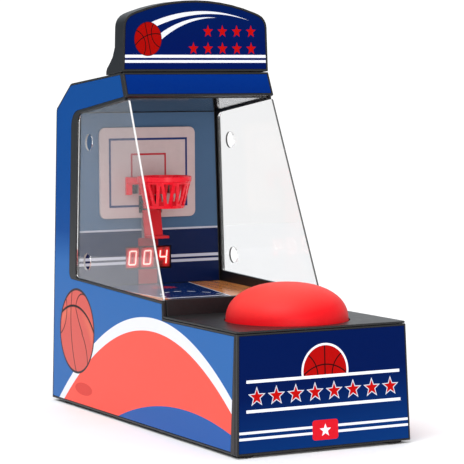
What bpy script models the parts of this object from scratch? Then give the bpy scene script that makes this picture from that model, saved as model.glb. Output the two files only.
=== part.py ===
"""Desktop basketball arcade machine at life size, in metres, +Z up.

The origin is on the ground under the middle of the machine. The player stands at -Y.
Pushing the dome tips a lever that kicks the ball out of its well, towards the hoop.
"""

import math

import bmesh
import bpy
from mathutils import Matrix, Vector

# Overall size of the moulded case
WIDTH = 0.112
DEPTH = 0.2573
FOOT_HEIGHT = 0.0018
WALL = 0.0024
GAP = 0.0003
DRAFT = math.radians(1.55)
LEAN = math.radians(2.0)
EDGE = 0.0006

# Case outline seen from the side, as (distance behind the front edge, height)
DECK_HEIGHT = 0.0699
DECK_SHEET = 0.0011
LIP_FOOT = 0.0952
SILL_FRONT = (0.0962, 0.0783)
SILL_REAR = (0.2315, 0.0828)
WINDOW_TOP_REAR = (0.2315, 0.1864)
OPENING_REAR = 0.2230
OPENING_DROP = 0.0010
FASCIA_FOOT = (0.1495, 0.1968)
FASCIA_HEAD = (0.1562, 0.2126)
ROOF_REAR = (0.2349, 0.2059)
REAR_HEAD = (0.2573, 0.1897)

# Stickers sit in shallow recesses, flush with the plastic around them
LABEL = 0.0002
RECESS = 0.0005
SIDE_BORDER = 0.0015
FRONT_BORDER = 0.0011
STICKER_SLANT = 0.0040
SIGN_BORDER = 0.0013

# Sign over the cabinet
SIGN_TOP = 0.2565
SIGN_ARC = 0.120
SIGN_CORNER = 0.009
SIGN_DEPTH = 0.0124

# Playing field
LIP_TOP = 0.0791
LIP_REAR = 0.1008
FLOOR_FRONT = 0.1011
FLOOR_FRONT_HEIGHT = 0.0732
FLOOR_REAR_HEIGHT = 0.0758
BACK_WALL = 0.2250
BACK_WALL_TOP = 0.1890
SHEET = 0.0012

# Dome button, its travel and its guide
BUTTON_DEPTH = 0.0437
DOME_RADIUS = 0.0354
DOME_HEIGHT = 0.0215
DOME_POWER = 2.25
DOME_WALL = 0.0022
FLANGE_RADIUS = 0.0385
STEM_RADIUS = 0.004
SHOULDER_HEIGHT = 0.062
GUIDE_TOP = 0.046

# Launcher lever, ball and ball well
PIVOT_DEPTH = 0.085
PIVOT_HEIGHT = 0.050
AXLE_RADIUS = 0.0015
BALL_DEPTH = 0.119
BALL_RADIUS = 0.010
BALL_HEIGHT = 0.0666
WELL_RADIUS = 0.011
SEAT_RADIUS = 0.007

# Hoop and backboard, both a little left of the middle
BOARD_X = -0.0017
BOARD_HALF = 0.0336
BOARD_BOTTOM = 0.1192
BOARD_TOP = 0.1776
HOOP_X = -0.0003
BOARD_FRONT = 0.2224
RIM_DEPTH = 0.2016
RIM_TOP = 0.1468
RIM_BOTTOM = 0.1431
RIM_RADIUS = 0.0170
NET_BOTTOM = 0.1264
NET_BOTTOM_RADIUS = 0.0122
NET_SLOTS = 10
BRACKET_HALF = 0.0174
NOTCH_INNER = 0.0081
NOTCH_OUTER = 0.0135
NOTCH_TOP = 0.1409
TONGUE_HALF = 0.0059
LEVER_PIVOT = (0.2204, 0.1272)
EAR_INNER = 0.0032
EAR_OUTER = 0.0050
PIN_RADIUS = 0.00070
PIN_BORE = 0.00075

# Score display
DISPLAY_X = -0.0009
DISPLAY_HALF = 0.0158
DISPLAY_BOTTOM = 0.0858
DISPLAY_TOP = 0.1004
DIGIT_SIZE = (0.0098, 0.0062, 0.0132)
DIGIT_PITCH = 0.0106

# Circuit board on the posts of the base plate
BOARD_POSTS = [(x, d) for x in (-0.030, 0.030) for d in (0.155, 0.200)]
BOARD_POST_TOP = 0.0117

# Rear cover
REAR_SCREWS = [(-0.0400, 0.0120), (0.0400, 0.0120), (-0.0400, 0.1720), (0.0400, 0.1720)]
GRILLE_CENTRE = 0.1200
SWITCH_PLACE = (0.0300, 0.0640)

# Battery bay in the rear cover
BAY_HALF = 0.0247
BAY_BOTTOM = 0.0128
BAY_TOP = 0.0480
TAB_HALF = 0.0050
TAB_TOP = 0.0548
CELL_RADIUS = 0.0052
CELL_HEIGHTS = (0.0182, 0.0300, 0.0418)
CELL_DEPTH = 0.2465

for leftover in list(bpy.data.objects):
    bpy.data.objects.remove(leftover, do_unlink=True)

PARTS = bpy.data.collections.new("basketball_arcade")
CUTTERS = bpy.data.collections.new("cutters")
bpy.context.scene.collection.children.link(PARTS)
bpy.context.scene.collection.children.link(CUTTERS)


# ---------------------------------------------------------------- materials


def material(name, colour, roughness, metallic=0.0, alpha=1.0):
    made = bpy.data.materials.new(name)
    made.use_nodes = True
    shader = made.node_tree.nodes["Principled BSDF"]
    shader.inputs["Base Color"].default_value = (*colour, 1.0)
    shader.inputs["Roughness"].default_value = roughness
    shader.inputs["Metallic"].default_value = metallic
    shader.inputs["Alpha"].default_value = alpha
    made.diffuse_color = (*colour, alpha)
    return made


BLACK = material("black_plastic", (0.016, 0.016, 0.018), 0.35)
GLOSS_BLACK = material("gloss_black_plastic", (0.010, 0.010, 0.012), 0.12)
BLUE = material("blue_print", (0.020, 0.120, 0.480), 0.30)
NAVY = material("navy_print", (0.004, 0.022, 0.160), 0.30)
SIGN_BLUE = material("sign_blue", (0.003, 0.060, 0.380), 0.30)
RED_SOFT = material("soft_red", (0.900, 0.045, 0.040), 0.50)
RED = material("red_plastic", (0.850, 0.015, 0.035), 0.30)
CREAM = material("cream_plastic", (0.560, 0.480, 0.480), 0.40)
WALL_PRINT = material("wall_print", (0.080, 0.170, 0.300), 0.30)
WOOD_PRINT = material("wood_print", (0.450, 0.170, 0.060), 0.20)
ACRYLIC = material("clear_acrylic", (0.920, 0.950, 0.960), 0.03, alpha=0.2)
DIGIT_RED = material("digit_red", (0.450, 0.005, 0.005), 0.25)
RUBBER = material("foot_rubber", (0.030, 0.030, 0.030), 0.85)
STEEL = material("spring_steel", (0.560, 0.570, 0.580), 0.30, 1.0)
NICKEL = material("nickel", (0.660, 0.640, 0.600), 0.25, 1.0)
WHITE = material("white_plastic", (0.780, 0.780, 0.760), 0.45)
BOARD_GREEN = material("board_green", (0.015, 0.150, 0.050), 0.40)
CHIP_BLACK = material("chip_black", (0.020, 0.020, 0.022), 0.50)
ORANGE = material("ball_orange", (0.800, 0.230, 0.050), 0.60)
CELL_WRAP = material("cell_wrap", (0.050, 0.260, 0.300), 0.30)
WIRE_RED = material("wire_red", (0.600, 0.010, 0.010), 0.45)
WIRE_BLACK = material("wire_black", (0.015, 0.015, 0.015), 0.45)


# ---------------------------------------------------------------- places


def behind(depth):
    """World y at a distance behind the front edge of the case."""
    return depth - DEPTH / 2


def half_width(height):
    """Half the case's width at a height: the sides lean in as they rise."""
    return WIDTH / 2 - math.tan(DRAFT) * (height - FOOT_HEIGHT)


def inner_half(height):
    """Half the free width between the side walls, less a gap."""
    return half_width(height) - WALL / math.cos(DRAFT) - GAP


def along(start, end, depth):
    """Height at a depth on the straight line through two (depth, height) points."""
    share = (depth - start[0]) / (end[0] - start[0])
    return start[1] + share * (end[1] - start[1])


def side_frame(side):
    """Local X runs along the case, Y up the leaning wall and Z out of it."""
    out = Vector((side * math.cos(DRAFT), 0, math.sin(DRAFT)))
    up = Vector((-side * math.sin(DRAFT), 0, math.cos(DRAFT)))
    frame = Matrix((up.cross(out), up, out)).transposed().to_4x4()
    frame.translation = (side * WIDTH / 2, behind(0), FOOT_HEIGHT)
    return frame


def facing_frame(depth, height, lean=0.0):
    """Local X runs across the case, Y up a face that leans back, Z out towards the player."""
    up = Vector((0, math.sin(lean), math.cos(lean)))
    across = Vector((1, 0, 0))
    frame = Matrix((across, up, across.cross(up))).transposed().to_4x4()
    frame.translation = (0, behind(depth), height)
    return frame


def profile_frame():
    """Local X runs back from the front edge, Y up and Z across the case."""
    back = Vector((0, 1, 0))
    up = Vector((0, 0, 1))
    frame = Matrix((back, up, back.cross(up))).transposed().to_4x4()
    frame.translation = (0, behind(0), 0)
    return frame


# ---------------------------------------------------------------- outlines


def rectangle(left, bottom, right, top):
    return [(left, bottom), (right, bottom), (right, top), (left, top)]


def circle(centre, radius, count=32):
    turns = [2 * math.pi * i / count for i in range(count)]
    return [(centre[0] + radius * math.cos(t), centre[1] + radius * math.sin(t)) for t in turns]


def rounded(outline, radii, steps=4):
    """The outline with an arc at each corner whose radius isn't zero."""
    points = []
    for i, radius in enumerate(radii):
        corner = Vector(outline[i])
        if radius == 0:
            points.append(tuple(corner))
            continue
        before = (Vector(outline[i - 1]) - corner).normalized()
        after = (Vector(outline[(i + 1) % len(outline)]) - corner).normalized()
        half = before.angle(after) / 2
        centre = corner + (before + after).normalized() * radius / math.sin(half)
        start = corner + before * radius / math.tan(half) - centre
        end = corner + after * radius / math.tan(half) - centre
        sweep = start.angle_signed(end)
        for step in range(steps + 1):
            turned = start.copy()
            turned.rotate(Matrix.Rotation(-sweep * step / steps, 2))
            points.append(tuple(centre + turned))
    return points


def signed_area(outline):
    area = 0.0
    for i, (x, y) in enumerate(outline):
        next_x, next_y = outline[(i + 1) % len(outline)]
        area += (x * next_y - next_x * y) / 2
    return area


def inset(outline, distance):
    """The outline moved inwards by a distance, with its corners kept sharp."""
    inward = 1 if signed_area(outline) > 0 else -1
    count = len(outline)
    moved = []
    for i in range(count):
        corner = Vector(outline[i])
        first = (corner - Vector(outline[i - 1])).normalized()
        second = (Vector(outline[(i + 1) % count]) - corner).normalized()
        normals = [Vector((-e.y, e.x)) * inward for e in (first, second)]
        middle = (normals[0] + normals[1]).normalized()
        moved.append(tuple(corner + middle * distance / middle.dot(normals[0])))
    return moved


def strip(points, thickness):
    """A closed outline along an open line, its thickness on the right-hand side."""
    edges = [(Vector(b) - Vector(a)).normalized() for a, b in zip(points, points[1:])]
    normals = [Vector((e.y, -e.x)) for e in edges]
    far_side = []
    for i, point in enumerate(points):
        touching = normals[max(i - 1, 0) : i + 1] or normals[:1]
        middle = sum(touching, Vector((0, 0))).normalized()
        far_side.append(tuple(Vector(point) + middle * thickness / middle.dot(touching[0])))
    return list(points) + far_side[::-1]


# ---------------------------------------------------------------- solids


def keep(name, mesh, frame, look):
    """Puts a mesh in the scene as a part or, with no look, as a cutter."""
    mesh.name = name
    solid = bpy.data.objects.new(name, mesh)
    solid.matrix_world = frame
    if look is None:
        CUTTERS.objects.link(solid)
        solid.hide_render = True
        solid.display_type = "WIRE"
        return solid
    PARTS.objects.link(solid)
    mesh.materials.append(look)
    return solid


def shade(solid, angle=35):
    solid.data.shade_smooth()
    solid.data.set_sharp_from_angle(angle=math.radians(angle))
    return solid


def from_bmesh(name, shape, frame, look):
    mesh = bpy.data.meshes.new(name)
    shape.to_mesh(mesh)
    shape.free()
    return keep(name, mesh, frame, look)


def curve_mesh(curve):
    """The closed mesh of a curve, its caps welded to its sides."""
    guide = bpy.data.objects.new("guide", curve)
    bpy.context.scene.collection.objects.link(guide)
    graph = bpy.context.evaluated_depsgraph_get()
    mesh = bpy.data.meshes.new_from_object(guide.evaluated_get(graph))
    bpy.data.objects.remove(guide)
    bpy.data.curves.remove(curve)
    shape = bmesh.new()
    shape.from_mesh(mesh)
    bmesh.ops.remove_doubles(shape, verts=shape.verts, dist=1e-6)
    bmesh.ops.recalc_face_normals(shape, faces=shape.faces)
    shape.to_mesh(mesh)
    shape.free()
    mesh.materials.clear()
    return mesh


def plate(name, outline, frame, low, high, look, holes=()):
    """A flat plate between two offsets along its frame's Z, with holes right through it."""
    curve = bpy.data.curves.new(name, "CURVE")
    curve.dimensions = "2D"
    curve.fill_mode = "BOTH"
    curve.extrude = (high - low) / 2
    for ring in (outline, *holes):
        spline = curve.splines.new("POLY")
        spline.points.add(len(ring) - 1)
        for point, (x, y) in zip(spline.points, ring):
            point.co = (x, y, 0, 1)
        spline.use_cyclic_u = True
    middle = Matrix.Translation((0, 0, (low + high) / 2))
    return keep(name, curve_mesh(curve), frame @ middle, look)


def turned(name, profile, place, look, steps=32, closed=False):
    """A solid turned about a vertical axis from (radius, height) points, outer side first."""
    mesh = bpy.data.meshes.new(name)
    count = len(profile)
    edges = [(i, i + 1) for i in range(count - 1)]
    if closed:
        edges.append((count - 1, 0))
    mesh.from_pydata([(r, 0, z) for r, z in profile], edges, [])
    solid = keep(name, mesh, Matrix.Translation(place), look)
    screw = solid.modifiers.new("turn", "SCREW")
    screw.steps = steps
    screw.render_steps = steps
    screw.use_merge_vertices = True
    screw.merge_threshold = 1e-6
    screw.use_smooth_shade = True
    return solid


def box(name, low, high, look):
    shape = bmesh.new()
    bmesh.ops.create_cube(shape, size=1)
    size = [b - a for a, b in zip(low, high)]
    bmesh.ops.scale(shape, vec=size, verts=shape.verts)
    middle = [(a + b) / 2 for a, b in zip(low, high)]
    return from_bmesh(name, shape, Matrix.Translation(middle), look)


def rod(name, start, end, radius, look, segments=20):
    """A cylinder between two points."""
    line = Vector(end) - Vector(start)
    shape = bmesh.new()
    bmesh.ops.create_cone(
        shape,
        cap_ends=True,
        segments=segments,
        radius1=radius,
        radius2=radius,
        depth=line.length,
    )
    aim = line.to_track_quat("Z", "Y").to_matrix().to_4x4()
    middle = Matrix.Translation((Vector(start) + Vector(end)) / 2)
    solid = from_bmesh(name, shape, middle @ aim, look)
    return shade(solid)


def wire(name, points, radius, look, sides=2):
    """A round wire through points, with flat ends."""
    curve = bpy.data.curves.new(name, "CURVE")
    curve.dimensions = "3D"
    curve.bevel_depth = radius
    curve.bevel_resolution = sides
    curve.use_fill_caps = True
    spline = curve.splines.new("POLY")
    spline.points.add(len(points) - 1)
    for point, place in zip(spline.points, points):
        point.co = (*place, 1)
    return shade(keep(name, curve_mesh(curve), Matrix.Identity(4), look), 60)


def coil(name, centre, length, radius, turns, wire_radius, look):
    """An upright spring that rises from a centre point."""
    count = int(turns * 12)
    points = []
    for i in range(count + 1):
        angle = 2 * math.pi * turns * i / count
        local = (radius * math.cos(angle), radius * math.sin(angle), length * i / count)
        points.append(Vector(centre) + Vector(local))
    return wire(name, points, wire_radius, look)


def bevel(solid, width=EDGE, segments=2, angle=35):
    round_off = solid.modifiers.new("edge", "BEVEL")
    round_off.width = width
    round_off.segments = segments
    round_off.limit_method = "ANGLE"
    round_off.angle_limit = math.radians(angle)
    return solid


def pivot_at(solid, place):
    """Moves a part's origin to a point on its joint's axis, leaving its shape where it is."""
    shift = Vector(place) - solid.matrix_world.translation
    turn = solid.matrix_world.to_3x3().inverted()
    solid.data.transform(Matrix.Translation(-(turn @ shift)))
    solid.matrix_world.translation = place
    return solid


def boolean(solid, other, operation):
    step = solid.modifiers.new(other.name, "BOOLEAN")
    step.operation = operation
    step.object = other
    return solid


def cut(solid, *cutters):
    for cutter in cutters:
        boolean(solid, cutter, "DIFFERENCE")
    return solid


def join(solid, *others):
    for other in others:
        boolean(solid, other, "UNION")
    return solid


# ---------------------------------------------------------------- the case


def opening_top(depth):
    """Height of the top edge of a window opening."""
    return along(FASCIA_FOOT, WINDOW_TOP_REAR, depth) - OPENING_DROP


def wall_opening(front):
    """Rear part of the window opening, from its top front to its sill, with corner radii."""
    return [
        ((front, opening_top(front)), 0),
        ((OPENING_REAR, opening_top(OPENING_REAR)), 0.005),
        ((OPENING_REAR, along(SILL_FRONT, SILL_REAR, OPENING_REAR)), 0.002),
    ]


def sticker_opening(front):
    """The same part of the sticker's hole, which leaves a black column bare behind the window."""
    return [
        ((front, along(FASCIA_FOOT, WINDOW_TOP_REAR, front)), 0),
        (WINDOW_TOP_REAR, 0.009),
        (SILL_REAR, 0.003),
    ]


def wall_outline(opening, slant=0.0):
    """Outline of a side wall: solid below, a column behind the window and a band above it.

    The slant moves the foot of its front edge backwards.
    """
    front = WALL + GAP
    under_deck = DECK_HEIGHT - DECK_SHEET - GAP
    front_at_deck = front + math.tan(LEAN) * (under_deck - FOOT_HEIGHT)
    set_back = (WALL + GAP) / math.cos(fascia_lean())
    band_front = FASCIA_FOOT[0] + set_back
    band_head = FASCIA_HEAD[0] + set_back
    corners = [
        ((front + slant, FOOT_HEIGHT), 0),
        ((DEPTH, FOOT_HEIGHT), 0),
        (REAR_HEAD, 0.004),
        (ROOF_REAR, 0.006),
        ((band_head, along(FASCIA_HEAD, ROOF_REAR, band_head)), 0),
        *opening(band_front),
        (SILL_FRONT, 0),
        ((LIP_FOOT, under_deck), 0),
        ((front_at_deck, under_deck), 0),
    ]
    return rounded([place for place, _ in corners], [radius for _, radius in corners])


def fascia_lean():
    run = FASCIA_HEAD[0] - FASCIA_FOOT[0]
    rise = FASCIA_HEAD[1] - FASCIA_FOOT[1]
    return math.atan2(run, rise)


def on_side(outline, side):
    """A (depth, height) outline in the local coordinates of a side wall's frame."""
    return [(side * depth, (height - FOOT_HEIGHT) / math.cos(DRAFT)) for depth, height in outline]


def side_wall(side, word):
    frame = side_frame(side)
    wall_shape = on_side(wall_outline(wall_opening), side)
    outline = on_side(wall_outline(sticker_opening, STICKER_SLANT), side)
    wall = plate(f"{word}_side_wall", wall_shape, frame, -WALL, 0, BLACK)
    pocket = plate(
        f"{word}_label_pocket",
        inset(outline, SIDE_BORDER - GAP),
        frame,
        -RECESS,
        WALL,
        None,
    )
    bevel(wall, 0.0004, 1)
    cut(wall, pocket)
    wall.modifiers[-1].solver = "MANIFOLD"
    plate(f"{word}_side_label", inset(outline, SIDE_BORDER), frame, -LABEL, 0, BLUE)


def window(side, word):
    """A clear sheet in the opening between wall, lip and canopy, with its front edge free."""
    rear = OPENING_REAR - GAP
    top_rear = (rear, opening_top(rear) - GAP)
    sill_rear = (rear, along(SILL_FRONT, SILL_REAR, rear) + GAP)
    sill_front = (SILL_FRONT[0] + GAP, SILL_FRONT[1] + GAP)
    head = FASCIA_FOOT[0] - GAP
    head_front = (head, opening_top(head) - GAP)
    corners = [sill_front, sill_rear, top_rear, head_front]
    outline = rounded(corners, [0.001, 0.002, 0.005, 0.001])
    holes = [circle((0.2072, height), 0.0053, 24) for height in (0.0938, 0.1690)]
    inner_face = -0.0009 - SHEET
    plate(
        f"{word}_window",
        on_side(outline, side),
        side_frame(side),
        inner_face,
        -0.0009,
        ACRYLIC,
        [on_side(hole, side) for hole in holes],
    )


def front_panel():
    frame = facing_frame(0, FOOT_HEIGHT, LEAN)
    top = DECK_HEIGHT - DECK_SHEET - GAP
    rise = (top - FOOT_HEIGHT) / math.cos(LEAN)
    bottom_half = half_width(FOOT_HEIGHT)
    top_half = half_width(top)
    outline = [(-bottom_half, 0), (bottom_half, 0), (top_half, rise), (-top_half, rise)]
    panel = plate("front_panel", outline, frame, -WALL, 0, BLACK)
    pocket_outline = inset(outline, FRONT_BORDER - GAP / 2)
    pocket = plate("front_label_pocket", pocket_outline, frame, -RECESS, WALL, None)
    bevel(panel, 0.0003, 1)
    cut(panel, pocket)
    plate("front_label", inset(outline, FRONT_BORDER + GAP / 2), frame, -LABEL, 0, NAVY)


def top_deck():
    """The flat top in front of the playing field, with the round hole of the dome."""
    front = math.tan(LEAN) * (DECK_HEIGHT - FOOT_HEIGHT) - 0.0002
    rear = LIP_FOOT - GAP
    half = half_width(DECK_HEIGHT)
    outline = rectangle(-half, behind(front), half, behind(rear))
    outline = rounded(outline, [0.0015, 0.0015, 0, 0])
    hole = circle((0, behind(BUTTON_DEPTH)), DOME_RADIUS + 0.0008, 48)
    level = Matrix.Identity(4)
    bottom = DECK_HEIGHT - DECK_SHEET
    deck = plate("top_deck", outline, level, bottom, DECK_HEIGHT, BLACK, [hole])
    bevel(deck, 0.0003, 2)


def base_plate():
    """Bottom cover with four posts that carry the circuit board."""
    half = inner_half(FOOT_HEIGHT)
    outline = rectangle(-half, behind(WALL + 2 * GAP), half, behind(DEPTH - WALL - GAP))
    low = FOOT_HEIGHT
    high = low + 0.002
    base = plate("base_plate", outline, Matrix.Identity(4), low, high, BLACK)
    for i, (x, d) in enumerate(BOARD_POSTS):
        post_ends = ((x, behind(d), high - 0.001), (x, behind(d), BOARD_POST_TOP))
        join(base, rod(f"board_post_{i}", *post_ends, 0.0025, None, 12))


def feet():
    for x, side_word in ((-0.0480, "left"), (0.0480, "right")):
        for d, end_word in ((0.0085, "front"), (0.2400, "rear")):
            profile = [(0, FOOT_HEIGHT - GAP), (0.0058, FOOT_HEIGHT - GAP), (0.0060, 0.0004)]
            profile += [(0.0056, 0), (0, 0)]
            turned(f"{end_word}_{side_word}_foot", profile, (x, behind(d), 0), RUBBER, 24)


def roof():
    """Top of the cabinet, from under the sign to the back, with its sloped rear edge."""
    start = FASCIA_HEAD[0] + 0.0036
    line = [
        REAR_HEAD,
        ROOF_REAR,
        (start, along(FASCIA_HEAD, ROOF_REAR, start)),
    ]
    half = inner_half(FASCIA_HEAD[1])
    # The line runs from the back to the front, so its right-hand side is above it.
    outline = strip(line, -0.0022)
    plate("roof_panel", outline, profile_frame(), -half, half, BLACK)


def ceiling():
    """Glossy underside of the canopy, over the playing field."""
    front = FASCIA_FOOT[0] + 0.0040
    rear = BACK_WALL - 2 * GAP
    line = [
        (front, along(FASCIA_FOOT, WINDOW_TOP_REAR, front)),
        (rear, along(FASCIA_FOOT, WINDOW_TOP_REAR, rear)),
    ]
    half = inner_half(FASCIA_FOOT[1])
    plate("ceiling_panel", strip(line, -0.0016), profile_frame(), -half, half, GLOSS_BLACK)


def fascia():
    """The sloping panel between the ceiling and the sign."""
    frame = facing_frame(FASCIA_FOOT[0], FASCIA_FOOT[1], fascia_lean())
    rise = math.dist(FASCIA_FOOT, FASCIA_HEAD)
    foot = 0.0013
    head = rise - GAP
    foot_half = half_width(FASCIA_FOOT[1])
    head_half = half_width(FASCIA_HEAD[1])
    outline = [(-foot_half, foot), (foot_half, foot), (head_half, head), (-head_half, head)]
    panel = plate("fascia_panel", outline, frame, -WALL, 0, BLACK)
    pocket_outline = inset(outline, SIGN_BORDER - GAP / 2)
    pocket = plate("fascia_label_pocket", pocket_outline, frame, -RECESS, WALL, None)
    bevel(panel, 0.0003, 1)
    cut(panel, pocket)
    plate("fascia_label", inset(outline, SIGN_BORDER + GAP / 2), frame, -LABEL, 0, SIGN_BLUE)


def sign_outline(border=0.0):
    """Arched outline of the sign as (x, height) points."""
    foot = FASCIA_HEAD[1] + GAP
    shoulder = half_width(SIGN_TOP)
    arc_xs = [shoulder - 2 * shoulder * i / 12 for i in range(13)]
    arc = [(x, SIGN_TOP - SIGN_ARC + math.sqrt(SIGN_ARC**2 - x * x)) for x in arc_xs]
    corners = [(-half_width(foot), foot), (half_width(foot), foot), *arc]
    radii = [0, 0, SIGN_CORNER, *[0] * 11, SIGN_CORNER]
    outline = rounded(corners, radii)
    return inset(outline, border) if border else outline


def sign():
    """Hollow sign: an arch seen from the front and a boot with a flared heel from the side."""
    face = FASCIA_HEAD[0]
    back = face + SIGN_DEPTH
    foot = FASCIA_HEAD[1] + GAP
    heel = 0.1805
    heel_height = along(FASCIA_HEAD, ROOF_REAR, heel) + GAP
    flare = [(back, 0.2276), (0.1716, 0.2217), (0.1758, 0.2178), (0.1793, 0.2150)]
    above = SIGN_TOP + 0.0035
    sole = [(face, foot), (heel, heel_height), (heel, 0.2130)]
    boot = [*sole, *flare[::-1], (back, above), (face, above)]
    span = 0.06
    body = plate("sign_shell", boot, profile_frame(), -span, span, BLACK)
    arch_frame = facing_frame(0, 0)
    arch_outline = sign_outline()
    arch_outline[0] = (arch_outline[0][0], foot - 0.005)
    arch_outline[1] = (arch_outline[1][0], foot - 0.005)
    arch = plate("sign_arch", arch_outline, arch_frame, -0.19, -0.15, None)
    boolean(body, arch, "INTERSECT")
    hollow_boot = inset(boot, 0.002)
    hollow_boot[0] = (hollow_boot[0][0], foot - 0.004)
    hollow_boot[1] = (hollow_boot[1][0], foot - 0.004)
    hollow = plate("sign_hollow", hollow_boot, profile_frame(), -span, span, None)
    hollow_arch = inset(arch_outline, 0.002)
    hollow_arch[0] = (hollow_arch[0][0], foot - 0.008)
    hollow_arch[1] = (hollow_arch[1][0], foot - 0.008)
    inner_arch = plate("sign_hollow_arch", hollow_arch, arch_frame, -0.19, -0.15, None)
    boolean(hollow, inner_arch, "INTERSECT")
    face_frame = facing_frame(face, 0)
    pocket_outline = sign_outline(SIGN_BORDER - GAP / 2)
    pocket = plate("sign_label_pocket", pocket_outline, face_frame, -RECESS, WALL, None)
    cut(body, hollow, pocket)
    plate("sign_label", sign_outline(SIGN_BORDER + GAP / 2), face_frame, -LABEL, 0, NAVY)


# ---------------------------------------------------------------- playing field


def front_lip():
    foot = (LIP_FOOT + 0.0001, 0.0660)
    head = (SILL_FRONT[0] + 0.0001, LIP_TOP)
    outline = [
        foot,
        (foot[0] + 0.002, foot[1]),
        (head[0] + 0.002, LIP_TOP - 0.002),
        (LIP_REAR - 0.002, LIP_TOP - 0.002),
        (LIP_REAR - 0.002, 0.0724),
        (LIP_REAR, 0.0724),
        (LIP_REAR, LIP_TOP),
        head,
    ]
    half = inner_half(LIP_TOP)
    lip = plate("front_lip", outline, profile_frame(), -half, half, BLACK)
    bevel(lip, 0.0005, 2)


def floor_height(depth):
    """Height of the printed floor: it falls gently towards the player."""
    front = (FLOOR_FRONT, FLOOR_FRONT_HEIGHT)
    rear = (BACK_WALL, FLOOR_REAR_HEIGHT)
    return along(front, rear, depth)


def floor_frame():
    """Local X runs across, Y up the gentle slope of the floor and Z out of its top."""
    slope = math.atan2(FLOOR_REAR_HEIGHT - FLOOR_FRONT_HEIGHT, BACK_WALL - FLOOR_FRONT)
    frame = Matrix.Rotation(slope, 4, "X")
    frame.translation = (0, behind(FLOOR_FRONT), FLOOR_FRONT_HEIGHT)
    return frame


def playing_floor():
    """Sloping tray and its printed sticker, with the hole of the ball well through both."""
    frame = floor_frame()
    front_half = inner_half(FLOOR_FRONT_HEIGHT)
    rear = BACK_WALL - FLOOR_FRONT - 2 * GAP
    outline = rectangle(-front_half, 0, front_half, rear)
    well_place = (0, BALL_DEPTH - FLOOR_FRONT)
    tray_hole = circle(well_place, WELL_RADIUS + 0.0019, 32)
    top = -LABEL - GAP
    plate("floor_tray", outline, frame, top - 0.002, top, BLACK, [tray_hole])
    label_outline = inset(outline, 0.0002)
    plate("floor_label", label_outline, frame, -LABEL, 0, WOOD_PRINT, [tray_hole])


def ball_well():
    """Cup below the floor that stops the ball over the launcher."""
    rim = floor_height(BALL_DEPTH) + 0.0002
    outer = WELL_RADIUS + 0.0015
    flange_top = floor_height(BALL_DEPTH) - 0.0032
    profile = [
        (outer, rim),
        (outer, flange_top),
        (outer + 0.003, flange_top),
        (outer + 0.003, flange_top - 0.0015),
        (outer, flange_top - 0.0015),
        (outer, 0.0566),
        (SEAT_RADIUS, 0.0566),
        (SEAT_RADIUS, 0.0590),
        (WELL_RADIUS, 0.0615),
        (WELL_RADIUS, rim),
    ]
    turned("ball_well", profile, (0, behind(BALL_DEPTH), 0), BLACK, 32, closed=True)


def ball():
    shape = bmesh.new()
    bmesh.ops.create_uvsphere(shape, u_segments=24, v_segments=14, radius=BALL_RADIUS)
    place = Matrix.Translation((0, behind(BALL_DEPTH), BALL_HEIGHT))
    shade(from_bmesh("ball", shape, place, ORANGE), 60)


def wall_slots():
    """Slots behind the bracket and the score lever, shared by wall and wall sticker."""
    return rectangle(HOOP_X - 0.0150, 0.1222, HOOP_X + 0.0150, 0.1412)


def display_window():
    left, right = DISPLAY_X - DISPLAY_HALF, DISPLAY_X + DISPLAY_HALF
    return rectangle(left, DISPLAY_BOTTOM, right, DISPLAY_TOP)


def back_wall():
    """Upright wall behind the hoop and the sticker on it."""
    bottom = FLOOR_REAR_HEIGHT - 0.0040
    top = BACK_WALL_TOP
    halves = (inner_half(bottom), inner_half(top))
    outline = [(-halves[0], bottom), (halves[0], bottom), (halves[1], top), (-halves[1], top)]
    frame = facing_frame(BACK_WALL, 0)
    front = 2 * GAP
    holes = [wall_slots(), display_window()]
    plate("back_wall", outline, frame, -0.002, 0, BLACK, holes)
    visible_bottom = FLOOR_REAR_HEIGHT + GAP
    visible_top = along(FASCIA_FOOT, WINDOW_TOP_REAR, BACK_WALL) - GAP
    edge = 0.0013
    label = [
        (-inner_half(visible_bottom) + edge, visible_bottom),
        (inner_half(visible_bottom) - edge, visible_bottom),
        (inner_half(visible_top) - edge, visible_top),
        (-inner_half(visible_top) + edge, visible_top),
    ]
    back_label_holes = [inset(hole, -0.0002) for hole in holes]
    plate("back_wall_label", label, frame, GAP, front, WALL_PRINT, back_label_holes)


def backboard():
    left, right = BOARD_X - BOARD_HALF, BOARD_X + BOARD_HALF
    outline = rounded(rectangle(left, BOARD_BOTTOM, right, BOARD_TOP), [0.004] * 4, 5)
    frame = facing_frame(BOARD_FRONT, 0)
    low = -(BACK_WALL - BOARD_FRONT) + 3 * GAP
    holes = [
        rectangle(HOOP_X - 0.0078, 0.1222, HOOP_X + 0.0078, 0.1334),
        rectangle(HOOP_X - NOTCH_OUTER, 0.1348, HOOP_X - NOTCH_INNER, NOTCH_TOP - GAP),
        rectangle(HOOP_X + NOTCH_INNER, 0.1348, HOOP_X + NOTCH_OUTER, NOTCH_TOP - GAP),
    ]
    board = plate("backboard", outline, frame, low, 0, CREAM, holes)
    bevel(board, 0.0004, 1)


# ---------------------------------------------------------------- hoop


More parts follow.
